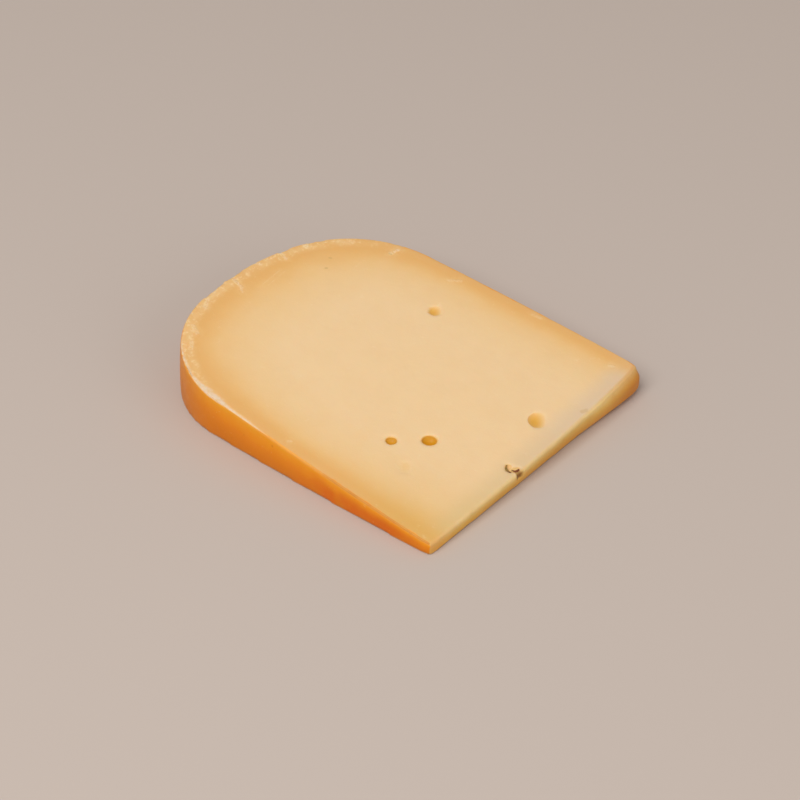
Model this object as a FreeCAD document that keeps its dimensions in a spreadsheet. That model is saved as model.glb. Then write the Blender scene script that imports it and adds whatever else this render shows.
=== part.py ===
import FreeCAD, Part

import math
import os

import Sketcher

# A thin radial wedge of a gouda wheel, lying on one of its knife-cut faces. Millimetres and degrees.
#
# The whole wheel would stand on edge: its axis is level and runs along Y. The rim of the rind points
# to -X, the cut-off tip to +X, and Z is up. The lower cut goes through the wheel's axis and is the
# face that the piece rests on (z = 0). The upper cut climbs from the tip to the rim and leans to one
# side, and a third, slightly bowed cut took the tip off. The origin is the middle of the footprint.

NODE = "gouda_wedge"

# alias, value, what it is
SIZES = (
    ("wheel_diameter", 350.0, "whole wheel, rim to rim"),
    ("wheel_thickness", 122.0, "whole wheel along its axis, face to face at the centre"),
    ("face_radius", 1920.0, "each face of the wheel is a shallow dome of this radius"),
    ("front_shoulder", 40.0, "radius between face and rim on the -Y side, pressed squarer"),
    ("back_shoulder", 50.0, "radius between face and rim on the +Y side"),
    ("rim_radius", 100.0, "radius of the rim's belly, seen in section"),
    ("rim_offset", 11.0, "the fullest point of the rim lies this far towards -Y"),
    ("blank_angle", 30.0, "angle of the thick slice that the upper cut is made in"),
    ("tip_reach", 31.0, "from the wheel's axis to the middle of the tip cut"),
    ("tip_thickness", 8.9, "height of the piece at the middle of the tip cut"),
    ("tip_skew", 2.2, "angle of the tip cut from square, seen from above"),
    ("tip_bow", 2.6, "bulge of the tip face at its top edge, its bottom edge being straight"),
    ("tip_round", 1.5, "rounding of the tip face's top edge"),
    ("rise", 6.85, "upper cut: climb from the tip to the rim"),
    ("lean", 3.6, "upper cut: climb from the -Y side to the +Y side"),
    ("edge_break", 0.35, "narrow bevel where the upper cut meets the rind"),
    ("cut_margin", 6.0, "each cut runs this far past the wheel"),
    ("nick_across", -11.9, "nick in the tip's top edge: its place along the edge"),
    ("nick_radius", 2.7, "nick: radius at the upper cut"),
    ("nick_root", 1.1, "nick: radius at its bottom"),
    ("nick_depth", 6.6, "nick: depth below the upper cut"),
)

# Hollows that the upper cut opened: the gas eyes, a faint dent, and a torn pit beside the nick. Each
# is part of a round bubble, a little longer than it is wide. Its fields are: distance in from the
# tip's edge, place across (-Y is negative), half the opening's length and width, depth, and the turn
# of its length from the X direction. Two eyes have a shelf, where a shallow bubble ran into a deep one.
HOLLOW_FIELDS = ("inset", "across", "half_length", "half_width", "depth", "turn")
HOLLOWS = (
    ("eye_front", 43.0, -30.2, 2.1, 1.9, 2.0, 38.0),
    ("eye_middle", 32.7, -21.0, 2.8, 2.45, 2.4, 38.0),
    ("eye_back", 71.7, 34.1, 2.5, 2.15, 1.3, 38.0),
    ("eye_back_shelf", 70.6, 35.0, 2.8, 2.1, 0.6, 128.0),
    ("eye_tip", 10.6, 11.9, 3.6, 2.2, 1.4, 128.0),
    ("eye_tip_shelf", 9.0, 13.0, 3.8, 3.6, 0.85, 128.0),
    ("dent", 31.2, -37.4, 4.0, 3.2, 0.3, 128.0),
    ("pit_inner", 3.0, -13.1, 2.0, 1.4, 1.3, 128.0),
    ("pit_outer", 0.4, -12.1, 2.0, 1.4, 1.7, 38.0),
)

# Places that several features share, as expressions on the sheet.
AXIS_X = "(sizes.wheel_diameter / 2 + sizes.tip_reach - sizes.tip_bow) / 2"
TIP_X = f"{AXIS_X} - sizes.tip_reach"
CUT_HALF_WIDTH = "(sizes.wheel_thickness / 2 + sizes.cut_margin)"

# Sketcher's numbers for its own origin and axes, and for the points of an edge.
ORIGIN, HORIZONTAL_AXIS, VERTICAL_AXIS = -1, -1, -2
START, END, CENTRE = 1, 2, 3

# Two face normals closer than this, in radians, are the same direction.
SAME_DIRECTION = 1e-4


def fill_sheet(doc):
    """Every driving size, one row each: name, value, remark."""
    sheet = doc.addObject("Spreadsheet::Sheet", "sizes")
    rows = list(SIZES)
    for name, *values in HOLLOWS:
        for field, value in zip(HOLLOW_FIELDS, values):
            rows.append((f"{name}_{field}", value, f"{name}: {field}"))
    for row, (alias, value, remark) in enumerate(rows, start=1):
        sheet.set(f"A{row}", alias)
        sheet.set(f"B{row}", str(value))
        sheet.set(f"C{row}", remark)
        sheet.setAlias(f"B{row}", alias)
    doc.recompute()
    return sheet


def attach(feature, support, x="0", y="0", z="0", turn="0", tilt="0", roll="0"):
    """Lays a feature flat on a plane of its own body, moved by x, y and z, turned about the plane's
    normal, then tilted about its own Y and rolled about its own X."""
    feature.AttachmentSupport = [(support, "")]
    feature.MapMode = "FlatFace"
    placement = f"placement(vector({x};{y};{z});rotation({turn};{tilt};{roll}))"
    feature.setExpression("AttachmentOffset", placement)


def connect(sketch, kind, *edges):
    """Joins each edge's end to the next one's start, touching there or running on smoothly."""
    for first, second in zip(edges, edges[1:]):
        sketch.addConstraint(Sketcher.Constraint(kind, first, END, second, START))


def dimension(sketch, name, kind, places, expression):
    """A named dimension that follows the sheet."""
    index = sketch.addConstraint(Sketcher.Constraint(kind, *places, sketch.evalExpression(expression)))
    sketch.renameConstraint(index, name)
    sketch.setExpression(f"Constraints.{name}", expression)


def arc(centre, radius, start, end):
    """An arc that runs anticlockwise between two directions, in radians."""
    circle = Part.Circle(centre, FreeCAD.Vector(0, 0, 1), radius)
    return Part.ArcOfCircle(circle, start, end)


def seat_shoulder(radius, rim_radius, rim_centre, face_radius, face_centre):
    """A shoulder that touches the rim's arc and the face's arc from inside, with the rim to +X and
    the face to +Y: its centre, and the directions in which it touches the rim and the face."""
    to_rim = rim_radius - radius
    to_face = face_radius - radius
    apart = rim_centre - face_centre
    cosine = (to_face**2 - apart.Length**2 - to_rim**2) / (2 * to_rim * apart.Length)
    at_rim = math.atan2(apart.y, apart.x) - math.acos(cosine)
    centre = rim_centre + FreeCAD.Vector(math.cos(at_rim), math.sin(at_rim)) * to_rim
    from_face = centre - face_centre
    return centre, at_rim, math.atan2(from_face.y, from_face.x)


def draw_section(body, sheet, plane):
    """Half of the wheel's section: face, shoulder, rim, shoulder and face, closed along the axis."""
    sketch = body.newObject("Sketcher::SketchObject", "wheel_section")
    attach(sketch, plane, x=AXIS_X)
    rim_x = sheet.wheel_diameter / 2 - sheet.rim_radius
    half_thickness = sheet.wheel_thickness / 2
    face_centre = FreeCAD.Vector(0, half_thickness - sheet.face_radius)
    rim_front = FreeCAD.Vector(rim_x, sheet.rim_offset)
    rim_back = FreeCAD.Vector(rim_x, -sheet.rim_offset)
    front, front_low, front_high = seat_shoulder(
        sheet.front_shoulder, sheet.rim_radius, rim_front, sheet.face_radius, face_centre)
    back, back_low, back_high = seat_shoulder(
        sheet.back_shoulder, sheet.rim_radius, rim_back, sheet.face_radius, face_centre)
    back = FreeCAD.Vector(-back.x, back.y)
    left = math.pi
    sketch.addGeometry([
        arc(face_centre, sheet.face_radius, left / 2, left - back_high),
        arc(back, sheet.back_shoulder, left - back_high, left - back_low),
        arc(-rim_front, sheet.rim_radius, left - back_low, left + front_low),
        arc(-front, sheet.front_shoulder, left + front_low, left + front_high),
        arc(-face_centre, sheet.face_radius, left + front_high, left * 1.5),
        Part.LineSegment(FreeCAD.Vector(0, -half_thickness), FreeCAD.Vector(0, half_thickness)),
    ], False)
    back_face, back_shoulder, rim, front_shoulder, front_face, axis = range(6)
    connect(sketch, "Tangent", back_face, back_shoulder, rim, front_shoulder, front_face)
    connect(sketch, "Coincident", front_face, axis, back_face)
    sketch.addConstraint(Sketcher.Constraint("PointOnObject", axis, START, VERTICAL_AXIS))
    sketch.addConstraint(Sketcher.Constraint("Symmetric", axis, START, axis, END, ORIGIN, START))
    for face in (back_face, front_face):
        sketch.addConstraint(Sketcher.Constraint("PointOnObject", face, CENTRE, VERTICAL_AXIS))
    dimension(sketch, "thickness", "DistanceY", (axis, START, axis, END), "sizes.wheel_thickness")
    dimension(sketch, "back_dome", "Radius", (back_face,), "sizes.face_radius")
    dimension(sketch, "front_dome", "Radius", (front_face,), "sizes.face_radius")
    dimension(sketch, "back_shoulder", "Radius", (back_shoulder,), "sizes.back_shoulder")
    dimension(sketch, "front_shoulder", "Radius", (front_shoulder,), "sizes.front_shoulder")
    dimension(sketch, "rim", "Radius", (rim,), "sizes.rim_radius")
    dimension(sketch, "rim_out", "DistanceX", (rim, CENTRE, ORIGIN, START),
              "sizes.wheel_diameter / 2 - sizes.rim_radius")
    dimension(sketch, "rim_down", "DistanceY", (rim, CENTRE, ORIGIN, START), "sizes.rim_offset")
    return sketch


def draw_patch(body, name, back, ahead, bow=None, **place):
    """The patch that a cut takes away: from `back` behind its origin to `ahead` of it along X, and
    past the wheel on both sides. With a bow, its back edge is an arc that bulges that far ahead."""
    sketch = body.newObject("Sketcher::SketchObject", name)
    attach(sketch, **place)
    start, end = -sketch.evalExpression(back), sketch.evalExpression(ahead)
    half_width = sketch.evalExpression(CUT_HALF_WIDTH)
    low, high = FreeCAD.Vector(start, -half_width), FreeCAD.Vector(start, half_width)
    far_low, far_high = FreeCAD.Vector(end, -half_width), FreeCAD.Vector(end, half_width)
    bow_radius = f"({CUT_HALF_WIDTH}^2 / ({bow}) + {bow}) / 2"
    if bow is None:
        sketch.addGeometry(Part.LineSegment(low, high), False)
    else:
        radius = sketch.evalExpression(bow_radius)
        centre = FreeCAD.Vector(start + sketch.evalExpression(bow) - radius, 0)
        spread = math.asin(half_width / radius)
        sketch.addGeometry(arc(centre, radius, -spread, spread), False)
    for first, second in ((high, far_high), (far_high, far_low), (far_low, low)):
        sketch.addGeometry(Part.LineSegment(first, second), False)
    edge, top, side, bottom = range(4)
    connect(sketch, "Coincident", edge, top, side, bottom, edge)
    sketch.addConstraint(Sketcher.Constraint("Horizontal", top))
    sketch.addConstraint(Sketcher.Constraint("Horizontal", bottom))
    sketch.addConstraint(Sketcher.Constraint("Vertical", side))
    sketch.addConstraint(Sketcher.Constraint("Symmetric", edge, START, edge, END, HORIZONTAL_AXIS))
    dimension(sketch, "width", "DistanceY", (edge, START, edge, END), f"2 * {CUT_HALF_WIDTH}")
    dimension(sketch, "back", "DistanceX", (edge, START, ORIGIN, START), back)
    dimension(sketch, "ahead", "DistanceX", (ORIGIN, START, side, START), ahead)
    if bow is not None:
        sketch.addConstraint(Sketcher.Constraint("PointOnObject", edge, CENTRE, HORIZONTAL_AXIS))
        dimension(sketch, "bow_radius", "Radius", (edge,), bow_radius)
    return sketch


def cut_edges(shape, knife):
    """The names of two edges of the upper cut: the one along the tip, and the one along the rim."""
    normal = knife.Placement.Rotation.multVec(FreeCAD.Vector(0, 0, 1))
    planes = [face for face in shape.Faces if face.Surface.TypeId == "Part::GeomPlane"]
    cut = next(face for face in planes if face.normalAt(0, 0).getAngle(normal) < SAME_DIRECTION)
    tip_middle = Part.Vertex(knife.Placement.Base)
    found = []
    for number, edge in enumerate(shape.Edges, start=1):
        if any(edge.isSame(border) for border in cut.Edges):
            found.append((edge.distToShape(tip_middle)[0], f"Edge{number}"))
    tip, *_, rim = [name for gap, name in sorted(found)]
    return tip, rim


def make_slice(body, sheet, plane):
    """A thick slice of the wheel: half its section, turned about the wheel's axis."""
    wheel = body.newObject("PartDesign::Revolution", "wheel_slice")
    wheel.Profile = draw_section(body, sheet, plane)
    wheel.ReferenceAxis = (wheel.Profile[0], ["V_Axis"])
    wheel.setExpression("Angle", "sizes.blank_angle")


def make_upper_cut(body, knife):
    """Takes away all that is above the knife's plane."""
    back = "sizes.wheel_diameter / 2"
    cut = body.newObject("PartDesign::Pocket", "upper_cut")
    cut.Profile = draw_patch(body, "upper_cut_patch", back, "sizes.tip_reach", support=knife)
    cut.Type = "ThroughAll"
    cut.Reversed = True


def make_tip_cut(body, plane):
    """Takes the tip off. The cut is straight at the foot and bows more the higher it is: its upper
    patch lies at twice the tip's height, with twice the bow."""
    ahead = "sizes.tip_reach + sizes.cut_margin"
    place = {"support": plane, "x": TIP_X, "turn": "-sizes.tip_skew"}
    cut = body.newObject("PartDesign::SubtractiveLoft", "tip_cut")
    cut.Profile = draw_patch(body, "tip_cut_foot", "0", ahead, **place)
    cut.Sections = [draw_patch(body, "tip_cut_crown", "0", ahead, "2 * sizes.tip_bow",
                               z="2 * sizes.tip_thickness", **place)]
    cut.Ruled = True


def soften(body, kind, name, edge, size, expression):
    """Rounds or bevels an edge, and all those that run on smoothly from it."""
    base = body.Tip
    feature = body.newObject(kind, name)
    feature.Base = (base, [edge])
    feature.setExpression(size, expression)


def draw_bubble(body, name, knife, size):
    """Half of a bubble's outline over its long axis. The bubble is a ball of the radius that has the
    opening's width and the depth, stretched by a straight middle to the opening's length."""
    radius = f"({size['half_width']}^2 + {size['depth']}^2) / (2 * {size['depth']})"
    stretch = f"{size['half_length']} - {size['half_width']}"
    sketch = body.newObject("Sketcher::SketchObject", f"{name}_outline")
    attach(sketch, knife, x=f"-{size['inset']}", y=size["across"],
           z=f"{radius} - {size['depth']}", turn=size["turn"])
    ball, reach = sketch.evalExpression(radius), sketch.evalExpression(stretch)
    ahead, behind = FreeCAD.Vector(reach, 0), FreeCAD.Vector(-reach, 0)
    up, out = FreeCAD.Vector(0, ball), FreeCAD.Vector(ball, 0)
    sketch.addGeometry([
        arc(ahead, ball, 0, math.pi / 2),
        Part.LineSegment(ahead + up, behind + up),
        arc(behind, ball, math.pi / 2, math.pi),
        Part.LineSegment(behind - out, ahead + out),
    ], False)
    front, top, rear, axis = range(4)
    connect(sketch, "Tangent", front, top, rear)
    connect(sketch, "Coincident", rear, axis, front)
    for edge, point in ((front, CENTRE), (rear, CENTRE), (axis, START), (axis, END)):
        sketch.addConstraint(Sketcher.Constraint("PointOnObject", edge, point, HORIZONTAL_AXIS))
    sketch.addConstraint(Sketcher.Constraint("Horizontal", top))
    dimension(sketch, "ball", "Radius", (front,), radius)
    dimension(sketch, "ahead", "DistanceX", (ORIGIN, START, front, CENTRE), stretch)
    dimension(sketch, "behind", "DistanceX", (rear, CENTRE, ORIGIN, START), stretch)
    return sketch


def open_hollow(body, knife, name):
    """One eye or dent: its outline, turned about its long axis, is cut out."""
    size = {field: f"sizes.{name}_{field}" for field in HOLLOW_FIELDS}
    hollow = body.newObject("PartDesign::Groove", name)
    hollow.Profile = draw_bubble(body, name, knife, size)
    hollow.ReferenceAxis = (hollow.Profile[0], ["H_Axis"])
    hollow.Angle = 360


def make_nick(body, knife):
    """A half-round notch that narrows downwards in the tip's top edge."""
    nick = body.newObject("PartDesign::SubtractiveCone", "nick")
    attach(nick, knife, x="sizes.tip_bow", y="sizes.nick_across", z="-sizes.nick_depth")
    nick.setExpression("Radius1", "sizes.nick_root")
    nick.setExpression("Radius2", "sizes.nick_radius")
    nick.setExpression("Height", "sizes.nick_depth")


def check(doc, body):
    """Stops at any failed object, loose sketch, empty feature or broken solid."""
    volume = math.inf
    for item in doc.Objects:
        if {"Invalid", "Error"} & set(item.State):
            raise SystemExit(f"{item.Name} failed: {item.State}")
        if item.isDerivedFrom("Sketcher::SketchObject") and not item.FullyConstrained:
            raise SystemExit(f"{item.Name} is not fully constrained")
    for item in body.Group:
        if item.isDerivedFrom("PartDesign::Feature"):
            if item.Shape.Volume >= volume:
                raise SystemExit(f"{item.Name} takes nothing away")
            volume = item.Shape.Volume
    if body.Shape.isNull() or not body.Shape.isValid() or len(body.Shape.Solids) != 1:
        raise SystemExit(f"{body.Label} is not one valid solid")


def main():
    doc = FreeCAD.newDocument("gouda")
    sheet = fill_sheet(doc)
    body = doc.addObject("PartDesign::Body", NODE)
    xy = next(plane for plane in body.Origin.OriginFeatures if plane.Role == "XY_Plane")
    make_slice(body, sheet, xy)
    knife = body.newObject("PartDesign::Plane", "knife_plane")
    attach(knife, xy, x=TIP_X, z="sizes.tip_thickness", tilt="sizes.rise", roll="sizes.lean")
    make_upper_cut(body, knife)
    make_tip_cut(body, xy)
    doc.recompute()
    tip, _ = cut_edges(body.Shape, knife)
    soften(body, "PartDesign::Fillet", "tip_edge", tip, "Radius", "sizes.tip_round")
    doc.recompute()
    _, rim = cut_edges(body.Shape, knife)
    soften(body, "PartDesign::Chamfer", "rind_edge", rim, "Size", "sizes.edge_break")
    for name, *_ in HOLLOWS:
        open_hollow(body, knife, name)
    make_nick(body, knife)
    doc.recompute()
    check(doc, body)
    os.makedirs("parts", exist_ok=True)
    body.Shape.exportStep(f"parts/{body.Label}.step")
    box = body.Shape.optimalBoundingBox()
    print(f"{body.Label}: {body.Shape.Volume / 1000:.1f} cm3, X {box.XMin:.2f} to {box.XMax:.2f}, "
          f"Y {box.YMin:.2f} to {box.YMax:.2f}, Z {box.ZMin:.2f} to {box.ZMax:.2f}")


main()
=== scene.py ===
import math

import bmesh
import bpy
import numpy as np
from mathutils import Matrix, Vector
from mathutils.bvhtree import BVHTree


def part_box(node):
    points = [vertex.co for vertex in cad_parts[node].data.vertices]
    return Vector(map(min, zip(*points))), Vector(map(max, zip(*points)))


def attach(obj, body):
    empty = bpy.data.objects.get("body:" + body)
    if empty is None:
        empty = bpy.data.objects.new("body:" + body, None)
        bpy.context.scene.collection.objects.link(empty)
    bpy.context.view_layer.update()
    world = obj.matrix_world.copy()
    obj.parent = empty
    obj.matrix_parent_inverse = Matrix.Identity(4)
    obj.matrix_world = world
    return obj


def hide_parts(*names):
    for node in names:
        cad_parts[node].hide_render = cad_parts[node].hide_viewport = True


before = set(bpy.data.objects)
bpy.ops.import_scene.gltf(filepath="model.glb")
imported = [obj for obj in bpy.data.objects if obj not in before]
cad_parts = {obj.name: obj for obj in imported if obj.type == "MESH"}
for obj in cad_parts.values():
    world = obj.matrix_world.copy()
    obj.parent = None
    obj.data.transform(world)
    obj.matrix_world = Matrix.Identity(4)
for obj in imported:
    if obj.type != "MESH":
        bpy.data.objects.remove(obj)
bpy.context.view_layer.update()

# A wedge of gouda lying on a cut face. Lengths are in metres; mm turns millimetres into them. The rim is
# at -X, the tip's own cut at +X and the near side at -Y. The upper cut is the wide pale face.
mm = 0.001
NODE = "gouda_wedge"
BODY = "root"
LOW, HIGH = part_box(NODE)
LENGTH, WIDTH = (HIGH - LOW)[:2]
SEED = 11


# ---------------------------------------------------------------- the CAD solid, sorted into its faces

def read_solid():
    """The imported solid's corners and triangles, and each triangle's normal, centre and area."""
    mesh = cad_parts[NODE].data
    mesh.calc_loop_triangles()
    corners = read_corners(mesh, "co")
    triangles = np.zeros(len(mesh.loop_triangles) * 3, int)
    mesh.loop_triangles.foreach_get("vertices", triangles)
    triangles = triangles.reshape(-1, 3)
    a, b, c = (corners[triangles[:, i]] for i in range(3))
    normals = np.cross(b - a, c - a)
    areas = np.linalg.norm(normals, axis=1) / 2
    normals /= np.maximum(2 * areas, 1e-12)[:, None]
    return corners, triangles, normals, (a + b + c) / 3, areas


def read_corners(mesh, name):
    """One three-part value of each of a mesh's corners."""
    values = np.zeros(len(mesh.vertices) * 3)
    mesh.vertices.foreach_get(name, values)
    return values.reshape(-1, 3)


def find_cut_plane(normals, centres, areas):
    """The upper cut's normal and its distance along it: what most of the upward area agrees on."""
    chosen = normals[:, 2] > 0.95
    for agreement in (0.999, 0.99999):
        normal = (normals[chosen] * areas[chosen, None]).sum(axis=0)
        normal /= np.linalg.norm(normal)
        chosen = normals @ normal > agreement
    return normal, np.average(centres[chosen] @ normal, weights=areas[chosen])


def find_tip_face(normals, centres, areas):
    """The triangles of the tip's own cut. It bows, so those are kept that lie on one fitted surface."""
    found = (normals[:, 0] > 0.8) & (centres[:, 0] > HIGH.x - 9 * mm) & (np.abs(normals[:, 1]) < 0.3)
    x, y, z = centres.T
    terms = np.stack((np.ones(len(x)), y, y * y, z, z * y * y), axis=1)
    weights = np.sqrt(areas[found])[:, None]
    fit = np.linalg.lstsq(terms[found] * weights, x[found] * weights[:, 0], rcond=None)[0]
    return found & (np.abs(x - terms @ fit) < 0.5 * mm)


def tree_of(faces):
    """A search tree over some of the solid's triangles."""
    return BVHTree.FromPolygons(CORNERS.tolist(), TRIANGLES[faces].tolist())


CORNERS, TRIANGLES, NORMALS, CENTRES, AREAS = read_solid()
CUT_NORMAL, CUT_DISTANCE = find_cut_plane(NORMALS, CENTRES, AREAS)
STEEP = np.abs(NORMALS[:, 2]) < 0.75
OUTSIDE = (np.abs(CENTRES[:, 1]) > 0.38 * WIDTH) | (CENTRES[:, 0] < LOW.x + 0.3 * LENGTH)
TIP_FACE = find_tip_face(NORMALS, CENTRES, AREAS)
RIND_FACE = STEEP & OUTSIDE & ~TIP_FACE & (NORMALS[:, 0] < 0.35)
WHOLE, RIND, TIP = tree_of(slice(None)), tree_of(RIND_FACE), tree_of(TIP_FACE)


# ---------------------------------------------------------------- numbers over many points at once

def step(low, high, values):
    """0 below low, 1 above high, and a smooth rise between; falls if low is above high."""
    share = np.clip((values - low) / (high - low), 0, 1)
    return share * share * (3 - 2 * share)


def lattice(cells, seed):
    """A repeatable random number from 0 to 1 for each whole-numbered cell."""
    mixed = cells[..., 0] * 374761393 + cells[..., 1] * 668265263 + cells[..., 2] * 1274126177
    mixed = (mixed + seed * 362437) & 0xFFFFFFFF
    mixed = ((mixed ^ (mixed >> 13)) * 1103515245) & 0xFFFFFFFF
    return ((mixed ^ (mixed >> 16)) & 0xFFFF) / 0xFFFF


def ripple(points, size, seed, octaves=1):
    """Smooth noise from -1 to 1 whose bumps are about `size` across."""
    total, weight = np.zeros(len(points)), 0.0
    for octave in range(octaves):
        scaled = points / (size / 2**octave) + 100
        cell = np.floor(scaled).astype(np.int64)
        share = scaled - cell
        share = share * share * (3 - 2 * share)
        value = np.zeros(len(points))
        for corner in np.ndindex(2, 2, 2):
            near = np.where(np.array(corner) == 1, share, 1 - share).prod(axis=1)
            value += near * lattice(cell + corner, seed + octave)
        total += (2 * value - 1) / 2**octave
        weight += 1 / 2**octave
    return total / weight


def distances(tree, points):
    """How far each point is from the tree's triangles."""
    return np.array([tree.find_nearest(point)[3] for point in points.tolist()])


def depths(points):
    """How far each point is below the upper cut's plane."""
    return CUT_DISTANCE - points @ CUT_NORMAL


# ---------------------------------------------------------------- the marks on the cheese

# Strokes over the surface: x and y of one end and of the other, the stroke's width, all in
# millimetres, and how strong it is. Chalky ones are the crumbly, whitish places near the rind.
CHALK = (
    (-69.0, -3.6, -63.8, -4.6, 1.3, 0.9),
    (-65.4, -4.0, -62.2, -6.4, 1.0, 0.7),
    (-70.0, -17.5, -67.0, -22.5, 2.0, 0.7),
    (-70.6, -12.0, -69.6, -15.0, 1.6, 0.4),
    (-64.2, -32.6, -60.2, -34.6, 1.8, 0.6),
    (-58.8, -39.4, -56.8, -42.0, 1.8, 0.6),
    (-66.0, 20.2, -61.4, 18.8, 1.3, 0.8),
    (-70.0, 8.6, -66.8, 10.2, 1.6, 0.5),
    (-61.8, 31.8, -60.2, 29.4, 2.0, 0.8),
    (-52.0, 40.4, -49.6, 41.6, 1.6, 0.3),
    (-33.2, 48.2, -32.2, 51.6, 1.6, 0.9),
    (-7.2, 50.8, -3.4, 53.8, 1.5, 0.5),
    (28.2, 56.8, 31.8, 57.2, 1.4, 0.4),
    (66.0, 53.6, 67.0, 54.1, 1.5, 0.7),
    (0.2, -54.6, 0.9, -54.0, 1.3, 0.5),
    (-59.1, 1.5, -59.3, 12.5, 0.4, 0.35),
    (-57.2, 3.0, -57.4, 13.5, 0.4, 0.25),
)
BROWN = (
    (-46.9, 24.8, -46.4, 25.3, 0.8, 0.5),
    (-49.4, 30.3, -48.7, 30.7, 0.8, 0.4),
    (-33.5, 47.6, -32.7, 47.9, 0.7, 0.5),
    (71.8, 27.2, 72.4, 28.6, 2.2, 0.3),
)
# Where the coating peeled off along the near upper edge: x, and how wide the bare strip is there, in
# millimetres.
PEEL = (
    (-66, 0.0), (-61, 0.5), (-55, 0.7), (-49, 1.0), (-47, 0.8), (-42, 1.5),
    (-37, 1.9), (-33, 1.8), (-28, 1.1), (-22, 0.7), (-14, 0.5), (-6, 0.0),
)
# Two curved dark blades that lie in the torn pit by the nick: x and y of both ends and of the bend between
# them, how wide each is and how far it sits below the cut, in millimetres.
FLECKS = (
    ((66.2, -12.0), (66.9, -15.2), (70.0, -14.4), 0.95, 0.25),
    ((68.9, -13.2), (71.4, -13.4), (70.7, -11.0), 1.15, 0.15),
)
FLECK_RINGS = 15
FLECK_SIDES = 8
# The middle of the nick in the tip's edge.
NICK = np.array((73.3, -11.9)) * mm
# Eyes where a shallow bubble ran into a deep one, worn to one soft bowl that gets shallower along SLOPE:
# x and y of the middle, half its size along and across the slope, and its depth, in millimetres.
BOWLS = ((62.3, 13.3, 4.3, 4.1, 1.65), (-0.4, 34.3, 3.3, 2.6, 1.5))
SLOPE = np.array((0.79, 0.61))


def strokes(points, marks, spread=0.0):
    """How far each point is inside the marks, from 0 to 1. They fade out over `spread` more."""
    strength = np.zeros(len(points))
    wobble = 1 + 0.4 * ripple(points, 1.6 * mm, SEED, 2)
    for x1, y1, x2, y2, width, strong in marks:
        start, run = np.array((x1, y1)) * mm, np.array((x2 - x1, y2 - y1)) * mm
        share = np.clip((points[:, :2] - start) @ run / (run @ run), 0, 1)
        gap = np.linalg.norm(points[:, :2] - start - share[:, None] * run, axis=1) * wobble
        inside = step(0.65 * width * mm + spread, 0.2 * width * mm, gap)
        strength = np.maximum(strength, strong * inside)
    return strength


def peeling(points, from_rind, below):
    """The bare strip along the near upper edge, from 0 to 1. It reaches down over the rind a little."""
    x, width = np.array(PEEL).T * mm
    width = np.interp(points[:, 0], x, width) * (1 + 0.3 * ripple(points, 4 * mm, SEED + 3, 2))
    width[points[:, 1] > 0] = 0
    across = step(width + 0.25 * mm, width - 0.45 * mm, from_rind)
    down = step(0.45 * width + 0.12 * mm, 0.45 * width - 0.12 * mm, below)
    return across * down * (width > 0.05 * mm)


# ---------------------------------------------------------------- the cheese's own mesh

COARSE = 0.9 * mm
REFINEMENTS = 2
SMOOTHINGS = 2
FINE_REACH = 1.5 * mm
HALO_REACH = 2.6 * mm
# How far things stand out or are sunk, at most.
SWELL = 0.07 * mm
PUCKER = 0.02 * mm
RIND_SWELL = 0.10 * mm
CRUMBLE = 0.22 * mm
CRUMBLE_SINK = 0.10 * mm
EDGE_WEAR = 0.10 * mm
CHIP = 0.65 * mm
PEEL_SINK = 0.22 * mm
CORNER_SAG = 2.3 * mm
CORNER_WEAR = 0.35 * mm


def add_object(name, data):
    """An object of its own in the scene."""
    thing = bpy.data.objects.new(name, data)
    bpy.context.scene.collection.objects.link(thing)
    return thing


def copy_solid():
    """The CAD solid's shape as an even mesh of small squares."""
    source = add_object("gouda_even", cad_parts[NODE].data.copy())
    remesh = source.modifiers.new("even", "REMESH")
    remesh.mode = "VOXEL"
    remesh.voxel_size = COARSE
    graph = bpy.context.evaluated_depsgraph_get()
    mesh = bpy.data.meshes.new_from_object(source.evaluated_get(graph))
    bpy.data.objects.remove(source)
    return mesh


def snap(form):
    """Puts every corner of the mesh onto the CAD surface."""
    for vertex in form.verts:
        vertex.co = WHOLE.find_nearest(vertex.co)[0]


def needs_detail(points):
    """Which points lie where fine shape is: the edges of the cuts, the eyes, the tears."""
    below = depths(points)
    near_rind = distances(RIND, points) < FINE_REACH
    near_tip = distances(TIP, points) < FINE_REACH
    on_cut = below < FINE_REACH
    inside = ~near_rind & ~near_tip & (below > 0.02 * mm) & (points[:, 2] > 2 * mm)
    marked = on_cut & (strokes(points, CHALK + BROWN, 2 * mm) > 0)
    return on_cut & (near_rind | near_tip) | inside | marked


def refine(form):
    """Splits the edges where fine shape is in two."""
    form.verts.ensure_lookup_table()
    fine = needs_detail(np.array([vertex.co for vertex in form.verts]))
    edges = [edge for edge in form.edges if fine[edge.verts[0].index] and fine[edge.verts[1].index]]
    bmesh.ops.subdivide_edges(form, edges=edges, cuts=1, use_grid_fill=True)
    bmesh.ops.triangulate(form, faces=[face for face in form.faces if len(face.verts) > 4])


def make_mesh():
    """The CAD solid's surface, finer where fine shape is and slightly smoothed."""
    mesh = copy_solid()
    form = bmesh.new()
    form.from_mesh(mesh)
    snap(form)
    for _ in range(REFINEMENTS):
        refine(form)
        snap(form)
    for _ in range(SMOOTHINGS):
        bmesh.ops.smooth_vert(form, verts=form.verts, factor=0.4,
                              use_axis_x=True, use_axis_y=True, use_axis_z=True)
    form.to_mesh(mesh)
    form.free()
    return mesh


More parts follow.
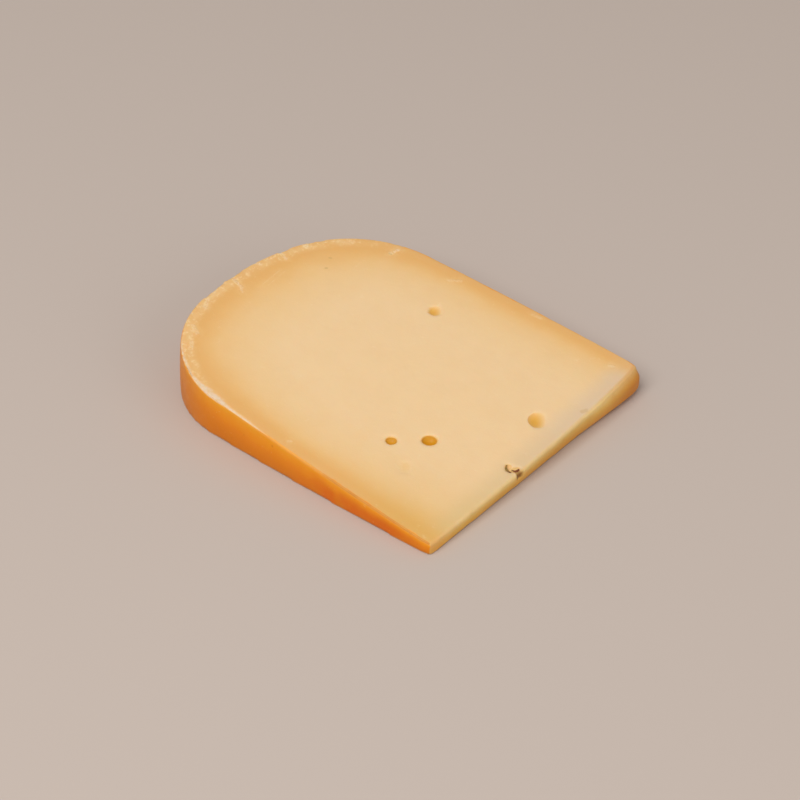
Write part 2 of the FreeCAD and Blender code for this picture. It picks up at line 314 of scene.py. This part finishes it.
def soften_bowls(points):
    """Turns each of the BOWLS into one smooth hollow."""
    below = depths(points)
    for x, y, along, across, depth in BOWLS:
        away = (points[:, :2] / mm - (x, y))
        run, side = away @ SLOPE, away @ (-SLOPE[1], SLOPE[0])
        inside = np.clip(1 - (run / along) ** 2 - (side / across) ** 2, 0, 1)
        bowl = depth * mm * inside**0.6 * step(0.9 * along, -0.8 * along, run)
        reach = step(along + across, along + across - 1.2, np.hypot(run, side)) * (points[:, 2] > 2 * mm)
        reach *= below < 2.5 * mm
        points = points + CUT_NORMAL * ((below - bowl) * reach)[:, None]
    return points


def corner_sag(points, normals):
    """How far the piece sags outwards at the far end of the tip."""
    x, y, z = points.T
    near = step(46 * mm, 4 * mm, np.hypot(x - HIGH.x, y - HIGH.y))
    height = (0.35 + 0.65 * step(0, 3 * mm, z)) * step(13 * mm, 6 * mm, z)
    return CORNER_SAG * near * height * (np.abs(normals[:, 2]) < 0.6)


def measure(points, normals):
    """What the wear and the material go by, as one number for each point: distances and marks."""
    below = depths(points)
    from_rind = distances(RIND, points)
    from_tip = distances(TIP, points)
    on_top = step(2.2 * mm, 0.4 * mm, below)
    in_hollow = (from_rind > 2 * mm) & (points[:, 2] > 1.5 * mm)
    # How deep a point lies in an eye, plus more on steep walls: it drives the painted shade inside the eyes.
    wall = (1 - normals @ CUT_NORMAL) * step(0.1 * mm, 0.5 * mm, below)
    hollow = np.where(in_hollow, np.maximum(below + 0.9 * mm * wall, 0), 0)
    hollow *= step(1.0 * mm, 2.0 * mm, from_tip) * (0.35 + 0.65 * step(5 * mm, 7 * mm, from_tip))
    # Painted shade deep inside the nick in the tip's edge.
    nick = step(3.2 * mm, 2.5 * mm, np.hypot(*(points[:, :2] - NICK).T))
    nick *= step(0.8 * mm, 2.6 * mm, below) * step(0.1 * mm, 0.5 * mm, from_tip)
    return {
        "from_rind": from_rind,
        "from_tip": from_tip,
        "below_cut": below,
        "hollow": hollow,
        "chalk": strokes(points, CHALK) * on_top,
        "halo": strokes(points, CHALK, HALO_REACH) * on_top,
        "peeled": peeling(points, from_rind, below),
        "nick": nick,
    }


def wear(points, normals, found):
    """The points after wear: swells, crumbled chalk, chips along the rind's edge, the peeled strip."""
    below, from_rind, from_tip = (found[name] for name in ("below_cut", "from_rind", "from_tip"))
    on_cut = step(1.6 * mm, 0.2 * mm, below) * step(0.3, 0.8, normals @ CUT_NORMAL)
    off_foot = step(0, 3 * mm, points[:, 2])
    rise = SWELL * ripple(points, 34 * mm, SEED + 5, 2) * on_cut
    rise += PUCKER * ripple(points, 5 * mm, SEED + 7, 2) * on_cut
    rise += RIND_SWELL * ripple(points, 18 * mm, SEED + 9, 2) * (1 - on_cut) * off_foot
    rise += found["chalk"] * (CRUMBLE * ripple(points, 0.9 * mm, SEED + 13, 2) - CRUMBLE_SINK)
    edge = step(1.3 * mm, 0.1 * mm, from_rind) * step(1.6 * mm, 0.2 * mm, below)
    rubbed = np.maximum(step(-20 * mm, -55 * mm, points[:, 0]), found["halo"])
    chips = step(0.1, 0.6, ripple(points, 4.2 * mm, SEED + 17, 3) + 0.35 * found["halo"])
    rise -= edge * (EDGE_WEAR + CHIP * chips * (0.15 + 0.85 * rubbed))
    rise -= found["peeled"] * PEEL_SINK
    rise += corner_sag(points, normals)
    points = points + normals * rise[:, None]
    corner = CORNER_WEAR * step(5 * mm, 0, np.hypot(from_rind, from_tip))
    points[:, 0] -= corner
    points[:, 1] -= corner * np.sign(points[:, 1])
    points[:, 2] = np.maximum(points[:, 2], LOW.z)
    return points


def make_body():
    """The cheese: the CAD solid's surface, worn, with what its material goes by in its attributes."""
    mesh = make_mesh()
    points = soften_bowls(read_corners(mesh, "co"))
    mesh.vertices.foreach_set("co", points.ravel())
    mesh.update()
    normals = read_corners(mesh, "normal")
    found = measure(points, normals)
    points = wear(points, normals, found)
    mesh.vertices.foreach_set("co", points.ravel())
    found["facing_tip"] = step(0.10, 0.85, normals[:, 0]) * step(8 * mm, 5 * mm, HIGH.x - points[:, 0])
    found["brown"] = strokes(points, BROWN) * step(2.2 * mm, 0.4 * mm, found["below_cut"])
    for name, values in found.items():
        layer = mesh.attributes.new(name, "FLOAT", "POINT")
        layer.data.foreach_set("value", values.astype(np.float32))
    mesh.shade_smooth()
    mesh.update()
    return add_object("gouda_body", mesh)


def make_fleck(form, start, bend, end, width, drop):
    """One bent blade, tapered at both ends, that lies `drop` below the upper cut."""
    rings = []
    for share in np.linspace(0.02, 0.98, FLECK_RINGS):
        weights = ((1 - share) ** 2, 2 * share * (1 - share), share**2)
        x, y = sum(weight * np.array(place) for weight, place in zip(weights, (start, bend, end))) * mm
        z = (CUT_DISTANCE - CUT_NORMAL[0] * x - CUT_NORMAL[1] * y) / CUT_NORMAL[2] - drop * mm
        run = np.subtract(bend, start) * (1 - share) + np.subtract(end, bend) * share
        side = np.cross(CUT_NORMAL, (*run, 0))
        side /= np.linalg.norm(side)
        half = width / 2 * mm * math.sqrt(math.sin(math.pi * share)) * (0.6 + 0.6 * share)
        ring = []
        for turn in np.linspace(0, 2 * math.pi, FLECK_SIDES, endpoint=False):
            out = side * half * math.cos(turn) + CUT_NORMAL * 0.5 * half * math.sin(turn)
            ring.append(form.verts.new(Vector((x, y, z)) + Vector(out)))
        rings.append(ring)
    for first, second in zip(rings, rings[1:]):
        for near in range(FLECK_SIDES):
            far = (near + 1) % FLECK_SIDES
            form.faces.new((first[near], first[far], second[far], second[near]))
    form.faces.new(rings[0][::-1])
    form.faces.new(rings[-1])


def make_flecks():
    """The dark blades that lie in the torn pit."""
    form = bmesh.new()
    for fleck in FLECKS:
        make_fleck(form, *fleck)
    bmesh.ops.recalc_face_normals(form, faces=form.faces)
    mesh = bpy.data.meshes.new("gouda_flecks")
    form.to_mesh(mesh)
    form.free()
    mesh.shade_smooth()
    return add_object("gouda_flecks", mesh)


# ---------------------------------------------------------------- materials

def colour(red, green, blue):
    """A linear colour from its 0 to 255 screen values."""
    share = [value / 255 for value in (red, green, blue)]
    return [value / 12.92 if value <= 0.04045 else ((value + 0.055) / 1.055) ** 2.4 for value in share] + [1]


class Recipe:
    """Short calls that build one material's nodes. An input is a number, a colour or an output."""

    def __init__(self, name):
        self.material = bpy.data.materials.new(name)
        self.material.use_nodes = True
        self.tree = self.material.node_tree
        self.shader = self.tree.nodes["Principled BSDF"]
        self.place = self.add("ShaderNodeTexCoord").outputs["Object"]
        self.x, self.y, self.z = self.add("ShaderNodeSeparateXYZ", {0: self.place}).outputs

    def add(self, kind, inputs=(), **settings):
        """One node with its settings and inputs."""
        node = self.tree.nodes.new(kind)
        for name, value in settings.items():
            setattr(node, name, value)
        for socket, value in dict(inputs).items():
            self.put(node.inputs[socket], value)
        return node

    def put(self, socket, value):
        """Links an output to the socket, or sets it to a value."""
        if isinstance(value, bpy.types.NodeSocket):
            self.tree.links.new(value, socket)
        else:
            socket.default_value = value

    def math(self, operation, first, second=0.0, clamp=False):
        """One sum over two numbers."""
        node = self.add("ShaderNodeMath", {0: first, 1: second}, operation=operation, use_clamp=clamp)
        return node.outputs[0]

    def times(self, first, *others):
        """All of the numbers multiplied."""
        for other in others:
            first = self.math("MULTIPLY", first, other)
        return first

    def attribute(self, name):
        """One of the numbers that the mesh carries at its corners."""
        return self.add("ShaderNodeAttribute", attribute_name=name).outputs["Fac"]

    def noise(self, size, detail=3.0, rough=0.55, shift=0.0):
        """Noise from 0 to 1 with bumps about `size` metres across."""
        moved = self.add("ShaderNodeVectorMath", {0: self.place, 1: (shift, shift, shift)})
        inputs = {"Vector": moved.outputs[0], "Scale": 1 / size, "Detail": detail, "Roughness": rough}
        return self.add("ShaderNodeTexNoise", inputs).outputs["Fac"]

    def wobble(self, reach, *noise):
        """Noise about 0, from -reach / 2 to reach / 2."""
        return self.times(self.math("SUBTRACT", self.noise(*noise), 0.5), reach)

    def fade(self, value, low, high, bottom=0.0, top=1.0):
        """Goes smoothly from bottom to top as the value goes from low to high."""
        inputs = {"Value": value, "From Min": low, "From Max": high, "To Min": bottom, "To Max": top}
        return self.add("ShaderNodeMapRange", inputs, interpolation_type="SMOOTHSTEP").outputs["Result"]

    def ramp(self, value, reach, stops):
        """A colour that changes along the value: stops are (value, colour), up to `reach`."""
        node = self.add("ShaderNodeValToRGB", {"Fac": self.math("DIVIDE", value, reach)})
        ramp = node.color_ramp
        while len(ramp.elements) < len(stops):
            ramp.elements.new(1.0)
        for element, (place, shade) in zip(ramp.elements, stops):
            element.position = place / reach
            element.color = shade
        return node.outputs["Color"]

    def mix(self, share, first, second):
        """The first colour where share is 0 and the second where it is 1."""
        inputs = {"Factor": share, 6: first, 7: second}
        return self.add("ShaderNodeMix", inputs, data_type="RGBA", clamp_factor=True).outputs[2]

    def mix_numbers(self, share, first, second):
        """The first number where share is 0 and the second where it is 1."""
        inputs = {"Factor": share, 2: first, 3: second}
        return self.add("ShaderNodeMix", inputs, data_type="FLOAT").outputs[0]

    def bump(self, height, distance, strength, normal=None):
        """A normal bent by a height from 0 to 1 that stands for `distance` metres."""
        inputs = {"Height": height, "Distance": distance, "Strength": strength}
        if normal is not None:
            inputs["Normal"] = normal
        return self.add("ShaderNodeBump", inputs).outputs["Normal"]

    def finish(self, **inputs):
        """Sets the shader's inputs, named with _ for a space. Returns the material."""
        for name, value in inputs.items():
            self.put(self.shader.inputs[name.replace("_", " ")], value)
        return self.material


def paste_colour(recipe):
    """The cut paste: pale in the middle, a darker ochre band along the rind, greyer by the tip."""
    from_rind = recipe.attribute("from_rind")
    spread = recipe.fade(recipe.x, -5 * mm, -50 * mm, 1.0, 0.58)
    wander = recipe.wobble(5 * mm, 16 * mm)
    wander_far = recipe.times(wander, recipe.fade(from_rind, 1 * mm, 9 * mm))
    depth = recipe.math("ADD", recipe.times(from_rind, spread), wander_far)
    paste = recipe.ramp(depth, 30 * mm, (
        (0.0, colour(227, 175, 108)),
        (3.6 * mm, colour(229, 176, 106)),
        (6.2 * mm, colour(232, 184, 118)),
        (8.6 * mm, colour(234, 191, 130)),
        (12 * mm, colour(235, 196, 140)),
        (18 * mm, colour(236, 200, 148)),
        (29 * mm, colour(237, 203, 155)),
    ))
    from_tip = recipe.math("ADD", recipe.attribute("from_tip"), recipe.times(wander, 0.6))
    # Greyer and paler on the cut near the tip.
    tip_grey = recipe.times(recipe.fade(from_tip, 11 * mm, 0.5 * mm, 0.0, 0.85),
                       recipe.fade(from_rind, 2 * mm, 11 * mm, 0.2, 1.0))
    tip_grey_shade = recipe.mix(recipe.fade(recipe.y, -45 * mm, 35 * mm),
                           colour(221, 191, 139), colour(219, 192, 160))
    paste = recipe.mix(tip_grey, paste, tip_grey_shade)
    near_corner = recipe.times(recipe.fade(recipe.x, 18 * mm, 62 * mm),
                               recipe.fade(recipe.y, -18 * mm, -48 * mm),
                               recipe.fade(from_rind, 18 * mm, 3 * mm, 0.15, 0.5))
    paste = recipe.mix(near_corner, paste, colour(216, 170, 82))
    blotches = recipe.fade(recipe.noise(9 * mm, 4.0, 0.6, 3.0), 0.35, 0.72, 0.0, 0.10)
    paste = recipe.mix(blotches, paste, colour(224, 178, 120))
    pale = recipe.fade(recipe.noise(2.6 * mm, 3.0, 0.6, 5.0), 0.62, 0.78, 0.0, 0.16)
    return recipe.mix(pale, paste, colour(246, 222, 182))


def eye_shade_colour(recipe):
    """Inside an eye: painted shade, deeper gold the deeper it is and the steeper its wall."""
    return recipe.ramp(recipe.attribute("hollow"), 3 * mm, (
        (0.0, colour(238, 204, 154)),
        (0.4 * mm, colour(234, 192, 130)),
        (0.85 * mm, colour(228, 178, 98)),
        (1.4 * mm, colour(217, 160, 56)),
        (2.1 * mm, colour(209, 146, 14)),
        (3.0 * mm, colour(203, 136, 2)),
    ))


def tip_colour(recipe):
    """The tip's own cut: drier and darker, and darker still towards its foot, where part of it is painted
    shade; browner towards its ends, with a paler foot line.
    """
    below = recipe.attribute("below_cut")
    # Darker towards the foot: partly the face's own colour, partly painted shade near the ground.
    tip = recipe.ramp(below, 9 * mm, (
        (0.0, colour(226, 194, 142)),
        (1.4 * mm, colour(236, 200, 126)),
        (3.2 * mm, colour(234, 186, 92)),
        (5.6 * mm, colour(227, 171, 74)),
        (8.5 * mm, colour(224, 158, 64)),
    ))
    far_end = recipe.times(recipe.fade(recipe.y, 32 * mm, 58 * mm),
                           recipe.fade(below, 0.4 * mm, 6 * mm, 0.4, 0.9))
    tip = recipe.mix(far_end, tip, colour(200, 120, 32))
    near_end = recipe.fade(recipe.y, -44 * mm, -60 * mm, 0.0, 0.45)
    tip = recipe.mix(near_end, tip, colour(228, 150, 50))
    streaks = recipe.fade(recipe.noise(5 * mm, 4.0, 0.6, 7.0), 0.4, 0.75, 0.0, 0.18)
    tip = recipe.mix(streaks, tip, colour(196, 140, 66))
    foot = recipe.fade(recipe.z, LOW.z + 0.9 * mm, LOW.z + 0.3 * mm, 0.0, 0.6)
    return recipe.mix(foot, tip, colour(240, 188, 116))


def rind_colour(recipe):
    """The coating: orange, deeper and darker towards its foot, partly painted shade near the ground; deeper
    towards the tip, browner by the rim.
    """
    below = recipe.attribute("below_cut")
    above = recipe.math("SUBTRACT", recipe.z, LOW.z)
    height = recipe.math("DIVIDE", above, recipe.math("ADD", above, below))
    clouds = recipe.wobble(0.5, 20 * mm, 4.0, 0.6, 11.0)
    # Darker towards the foot: partly the coat's own colour, partly painted shade near the ground.
    rind = recipe.ramp(recipe.math("ADD", height, clouds), 1.0, (
        (0.0, colour(210, 118, 14)),
        (0.22, colour(219, 124, 10)),
        (0.5, colour(231, 134, 10)),
        (0.78, colour(240, 150, 16)),
        (1.0, colour(242, 164, 36)),
    ))
    brown = recipe.mix(recipe.fade(recipe.noise(7 * mm, 4.0, 0.6, 13.0), 0.35, 0.65),
                       colour(202, 116, 34), colour(218, 130, 44))
    rind = recipe.mix(recipe.fade(recipe.x, -30 * mm, -62 * mm, 0.0, 0.6), rind, brown)
    deep = recipe.times(recipe.fade(recipe.x, 0.0, 24 * mm),
                        recipe.fade(recipe.x, 70 * mm, 48 * mm),
                        recipe.fade(recipe.noise(10 * mm, 3.0, 0.5, 17.0), 0.25, 0.6),
                        recipe.fade(recipe.y, 20 * mm, -20 * mm, 0.25, 1.0),
                        recipe.fade(height, 0.95, 0.4, 0.0, 0.75))
    rind = recipe.mix(deep, rind, colour(218, 100, 0))
    far_corner = recipe.times(recipe.fade(recipe.x, 58 * mm, 70 * mm),
                              recipe.fade(recipe.y, 40 * mm, 52 * mm, 0.0, 0.75))
    rind = recipe.mix(far_corner, rind, colour(190, 114, 34))
    rind = recipe.mix(recipe.fade(below, 1.5 * mm, 0.3 * mm, 0.0, 0.6), rind, colour(236, 168, 88))
    rind = recipe.mix(recipe.fade(above, 1.0 * mm, 0.3 * mm, 0.0, 0.45), rind, colour(232, 160, 84))
    specks = recipe.fade(recipe.noise(1.9 * mm, 2.0, 0.5, 19.0), 0.70, 0.76, 0.0, 0.25)
    rind = recipe.mix(specks, rind, colour(240, 190, 120))
    pits = recipe.fade(recipe.noise(2.6 * mm, 3.0, 0.6, 23.0), 0.66, 0.76, 0.0, 0.3)
    return recipe.mix(pits, rind, colour(178, 86, 16))


def add_crumbs(recipe, paste, chalk):
    """The paste with the curdy band along the rim and the chalky marks over it."""
    band = recipe.times(recipe.fade(recipe.x, -30 * mm, -58 * mm),
                        recipe.fade(recipe.attribute("from_rind"), 6.0 * mm, 3.0 * mm))
    patches = recipe.fade(recipe.noise(6 * mm, 3.0, 0.6, 67.0), 0.42, 0.62, 0.25, 0.8)
    shade = recipe.mix(recipe.times(patches, band, 0.55), paste, colour(238, 200, 142))
    curd = recipe.fade(recipe.noise(1.7 * mm, 3.0, 0.6, 61.0), 0.50, 0.66, 0.0, 0.6)
    shade = recipe.mix(recipe.times(curd, band), shade, colour(244, 212, 160))
    pale = recipe.fade(recipe.noise(2 * mm, 3.0, 0.6, 5.0), 0.35, 0.6, 0.0, 0.35)
    shade = recipe.mix(recipe.times(recipe.attribute("halo"), pale), shade, colour(242, 206, 148))
    flour = recipe.fade(recipe.noise(0.8 * mm, 3.0, 0.65, 29.0), 0.3, 0.62, 0.0, 0.8)
    return recipe.mix(recipe.times(flour, chalk), shade, colour(244, 216, 174))


def coating(recipe, peeled):
    """Where the coating is, from 0 to 1. Its edge is jagged, with a few ragged tongues over the cut."""
    jagged = recipe.wobble(0.35 * mm, 1.3 * mm, 3.0, 0.6)
    ragged = recipe.fade(recipe.noise(6 * mm, 3.0, 0.6, 59.0), 0.5, 0.68, 0.0, -0.4 * mm)
    edge = recipe.math("ADD", recipe.attribute("from_rind"), recipe.math("ADD", jagged, ragged))
    left = recipe.math("SUBTRACT", 1.0, peeled, clamp=True)
    return recipe.times(recipe.fade(edge, 0.42 * mm, 0.16 * mm), left)


def edge_shadow_line(recipe):
    """Painted shadow: the thin brownish line where the cut meets the near rind, towards the tip, from 0 to 1.
    """
    return recipe.times(recipe.fade(recipe.attribute("below_cut"), 0.85 * mm, 0.35 * mm),
                        recipe.fade(recipe.attribute("from_rind"), 0.55 * mm, 0.15 * mm),
                        recipe.fade(recipe.x, 2 * mm, 32 * mm),
                        recipe.fade(recipe.y, 0.0, -20 * mm),
                        recipe.fade(recipe.noise(7 * mm, 3.0, 0.6, 71.0), 0.35, 0.65, 0.4, 0.6))


def make_cheese():
    """One material for the whole piece: cut paste, tip face, eyes, marks and coated rind."""
    recipe = Recipe("gouda")
    peeled, chalk = recipe.attribute("peeled"), recipe.attribute("chalk")
    coated = coating(recipe, peeled)

    # Inside the eyes the paste takes the painted shade of the hollow.
    in_eye = recipe.fade(recipe.attribute("hollow"), 0.08 * mm, 0.3 * mm)
    shade = recipe.mix(in_eye, paste_colour(recipe), eye_shade_colour(recipe))
    shade = recipe.mix(recipe.attribute("facing_tip"), shade, tip_colour(recipe))
    shade = add_crumbs(recipe, shade, chalk)
    shade = recipe.mix(coated, shade, rind_colour(recipe))
    # A painted shadow line along the near upper edge.
    shade = recipe.mix(edge_shadow_line(recipe), shade, colour(186, 116, 44))
    bare = recipe.mix(recipe.fade(recipe.noise(1.6 * mm, 3.0, 0.6, 31.0), 0.35, 0.7),
                      colour(228, 206, 180), colour(226, 192, 146))
    shade = recipe.mix(recipe.times(peeled, 0.9), shade, bare)
    shade = recipe.mix(recipe.attribute("brown"), shade, colour(188, 148, 78))
    # Painted shade deep inside the nick.
    shade = recipe.mix(recipe.attribute("nick"), shade, colour(140, 92, 42))

    grease = recipe.fade(recipe.noise(12 * mm, 4.0, 0.6, 37.0), 0.3, 0.7, 0.40, 0.54)
    waxy = recipe.fade(recipe.noise(6 * mm, 4.0, 0.6, 41.0), 0.3, 0.7, 0.34, 0.48)
    rough = recipe.mix_numbers(coated, grease, waxy)
    rough = recipe.math("ADD", rough, recipe.times(chalk, 0.25), clamp=True)

    normal = recipe.bump(recipe.noise(0.7 * mm, 3.0, 0.6, 43.0), 0.05 * mm, 0.6)
    normal = recipe.bump(recipe.noise(3.4 * mm, 3.0, 0.5, 47.0), 0.10 * mm, 0.7, normal)
    grain = recipe.times(recipe.noise(0.8 * mm, 4.0, 0.7, 53.0), chalk)
    normal = recipe.bump(grain, 0.4 * mm, 0.9, normal)
    return recipe.finish(
        Base_Color=shade, Roughness=rough, Normal=normal, Subsurface_Weight=0.25, Subsurface_Scale=2 * mm,
        Subsurface_Radius=(1.0, 0.55, 0.25), IOR=1.42, Specular_IOR_Level=0.35)


def make_fleck_material():
    """Olive brown towards the rim, reddish brown towards the tip."""
    recipe = Recipe("fleck")
    shade = recipe.mix(recipe.fade(recipe.x, 68.0 * mm, 69.6 * mm), colour(150, 122, 58), colour(122, 66, 34))
    dark = recipe.fade(recipe.noise(0.7 * mm, 2.0, 0.5, 3.0), 0.45, 0.65, 0.0, 0.4)
    shade = recipe.mix(dark, shade, colour(92, 54, 30))
    return recipe.finish(Base_Color=shade, Roughness=0.6, Specular_IOR_Level=0.3)


# ---------------------------------------------------------------- stage, light and camera

FLOOR_HALF = 4.0
FLOOR_GAP = 0.05 * mm
WORLD_STRENGTH = 0.42


def make_floor():
    """A plain pale floor, just below the piece."""
    half = FLOOR_HALF
    grid = bpy.data.meshes.new("floor")
    grid.from_pydata([(-half, -half, 0), (half, -half, 0), (half, half, 0), (-half, half, 0)], [],
                     [(0, 1, 2, 3)])
    floor = add_object("floor", grid)
    floor.location.z = LOW.z - FLOOR_GAP
    recipe = Recipe("floor")
    recipe.finish(Base_Color=colour(196, 182, 172), Roughness=0.9, Specular_IOR_Level=0.1)
    grid.materials.append(recipe.material)


def direction(azimuth, elevation):
    """The way from the object to a place: azimuth 0 is -Y and 90 is +X, in degrees."""
    azimuth, elevation = math.radians(azimuth), math.radians(elevation)
    level = math.cos(elevation)
    return Vector((math.sin(azimuth) * level, -math.cos(azimuth) * level, math.sin(elevation)))


def aim(thing, target, azimuth, elevation, distance):
    """Puts a lamp or the camera that far from the target, looking at it."""
    back = direction(azimuth, elevation)
    thing.location = target + back * distance
    thing.rotation_euler = (-back).to_track_quat("-Z", "Y").to_euler()


def make_lamp(name, azimuth, elevation, distance, size, power):
    """A soft square lamp that looks at the middle of the piece."""
    data = bpy.data.lights.new(name, "AREA")
    data.size = size
    data.energy = power
    aim(add_object(name, data), Vector((0, 0, 0)), azimuth, elevation, distance)


def make_light():
    """Soft light from all round, a key lamp from the near side and a weak fill from the tip."""
    world = bpy.data.worlds.new("studio")
    world.use_nodes = True
    back = world.node_tree.nodes["Background"]
    back.inputs["Color"].default_value = (1.0, 0.97, 0.94, 1)
    back.inputs["Strength"].default_value = WORLD_STRENGTH
    bpy.context.scene.world = world
    make_lamp("key", azimuth=4, elevation=54, distance=2.0, size=1.3, power=27.0)
    make_lamp("fill", azimuth=84, elevation=22, distance=2.2, size=1.6, power=10.0)


def make_camera():
    """Looks down on the near corner of the tip."""
    data = bpy.data.cameras.new("camera")
    data.sensor_width = 36
    data.lens = 112.5
    camera = add_object("camera", data)
    aim(camera, Vector((6.7, 2.3, 0)) * mm, azimuth=37.66, elevation=38.5, distance=0.9372)
    bpy.context.scene.camera = camera


def add_piece(piece, material):
    """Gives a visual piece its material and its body."""
    piece.data.materials.clear()
    piece.data.materials.append(material)
    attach(piece, BODY)


make_camera()
make_light()
make_floor()
gouda = make_body()
add_piece(gouda, make_cheese())
add_piece(make_flecks(), make_fleck_material())
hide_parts(NODE)
bpy.context.scene.view_settings.view_transform = "Standard"
